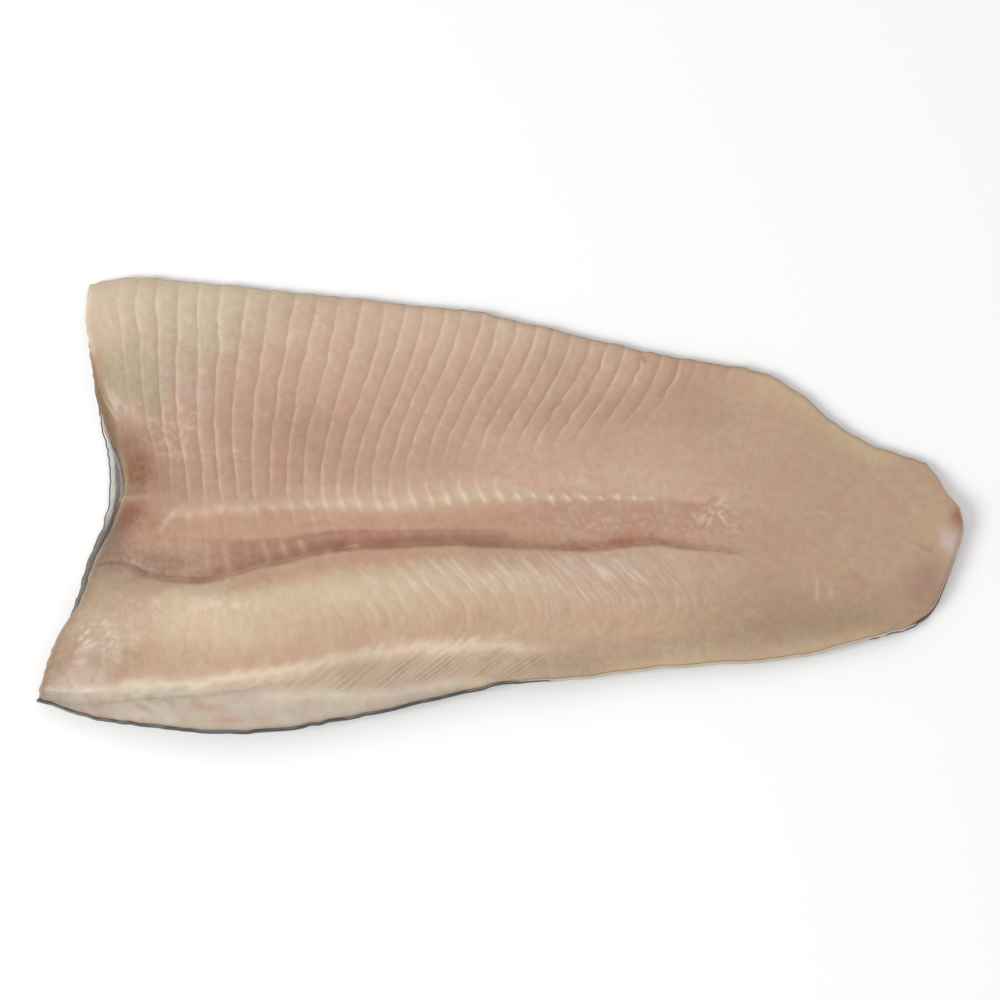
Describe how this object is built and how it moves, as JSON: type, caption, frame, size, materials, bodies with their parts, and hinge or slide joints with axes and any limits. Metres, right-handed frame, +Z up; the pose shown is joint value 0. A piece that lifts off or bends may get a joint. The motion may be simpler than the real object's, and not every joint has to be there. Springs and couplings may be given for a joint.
{
  "type": "rainbow trout fillet",
  "caption": "Raw skin-on trout fillet lying skin side down: thick loin, long crease beside the backbone line, and a thin belly flap ridged by curved muscle blocks.",
  "frame": {"origin": "under the middle of the fillet, on the surface it lies on", "axes": "+X from the head cut to the tail cut, +Y from the back of the fish to its belly, +Z up out of the cut flesh"},
  "size_m": [0.2396, 0.1216, 0.0164],
  "materials": {
    "flesh": "moist pale pink-beige raw fish flesh, half gloss",
    "skin": "wet fish skin, silver belly, pink side band and olive-grey spotted back"
  },
  "bodies": {
    "root": {"flesh": "flesh", "skin": "skin"}
  },
  "joints": []
}
